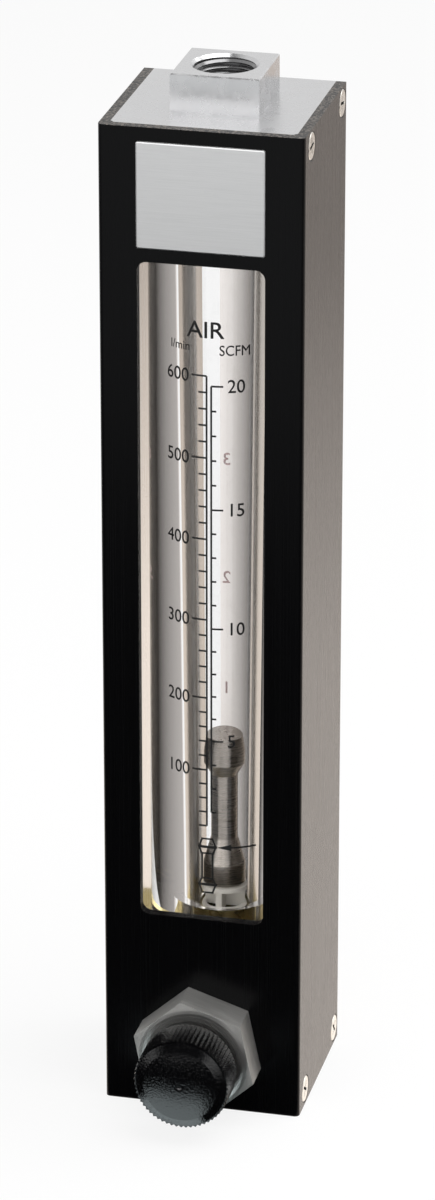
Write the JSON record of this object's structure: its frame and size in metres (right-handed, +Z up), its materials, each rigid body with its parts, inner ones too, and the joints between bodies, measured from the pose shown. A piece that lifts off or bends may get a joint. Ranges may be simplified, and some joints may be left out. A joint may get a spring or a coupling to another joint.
{
  "type": "rotameter",
  "caption": "Variable-area flow meter: a clear tapered tube and dumbbell float in a channel housing with a window, threaded ports and a needle valve with a knurled knob.",
  "frame": {"origin": "centre of the inlet port's mouth on the bottom face, on the metering tube's axis", "axes": "+Z up along the metering tube, -Y out of the windowed front, +X to the viewer's right"},
  "size_m": [0.0642, 0.0897, 0.3417],
  "materials": {
    "black_anodised": "satin black anodised aluminium",
    "brushed_plate": "brushed",
    "block_aluminium": "satin machined",
    "clear_tube": "polished",
    "seal_rubber": "matte",
    "white_plastic": "matte white",
    "float_steel": "turned",
    "turned_steel": "turned",
    "screw_steel": "bright",
    "black_knob": "moulded black"
  },
  "bodies": {
    "body": {"housing": "black_anodised", "name_plate": "brushed_plate", "upper_block": "block_aluminium", "lower_block": "block_aluminium", "metering_tube": "clear_tube", "tube_gasket_lower": "white_plastic", "tube_gasket_upper": "white_plastic", "tube_oring_lower": "seal_rubber", "tube_oring_upper": "seal_rubber", "float_stop_lower": "white_plastic", "float_stop_upper": "white_plastic", "valve_seat": "white_plastic", "bonnet": "turned_steel", "bonnet_oring": "seal_rubber", "packing_washer": "white_plastic", "stem_oring": "seal_rubber", "gland_nut": "turned_steel", "side_screws": "screw_steel"},
    "float": {"float": "float_steel"},
    "needle": {"needle": "turned_steel"},
    "knob": {"knob": "black_knob", "spindle": "turned_steel", "set_screw": "screw_steel"}
  },
  "joints": [
    {"name": "knob_turn", "type": "hinge", "parent": "body", "child": "knob", "pos_m": [0, -0.0474, 0.0225], "axis": [0, -1, 0], "range_deg": [0, 1080]},
    {"name": "needle_travel", "type": "slide", "parent": "body", "child": "needle", "axis": [0, -1, 0], "range_m": [0, 0.006]},
    {"name": "float_travel", "type": "slide", "parent": "body", "child": "float", "axis": [0, 0, 1], "range_m": [0, 0.162]}
  ],
  "couplings": [
    {"joint": "needle_travel", "follows": "knob_turn", "m_per_rad": 0.0003183}
  ]
}
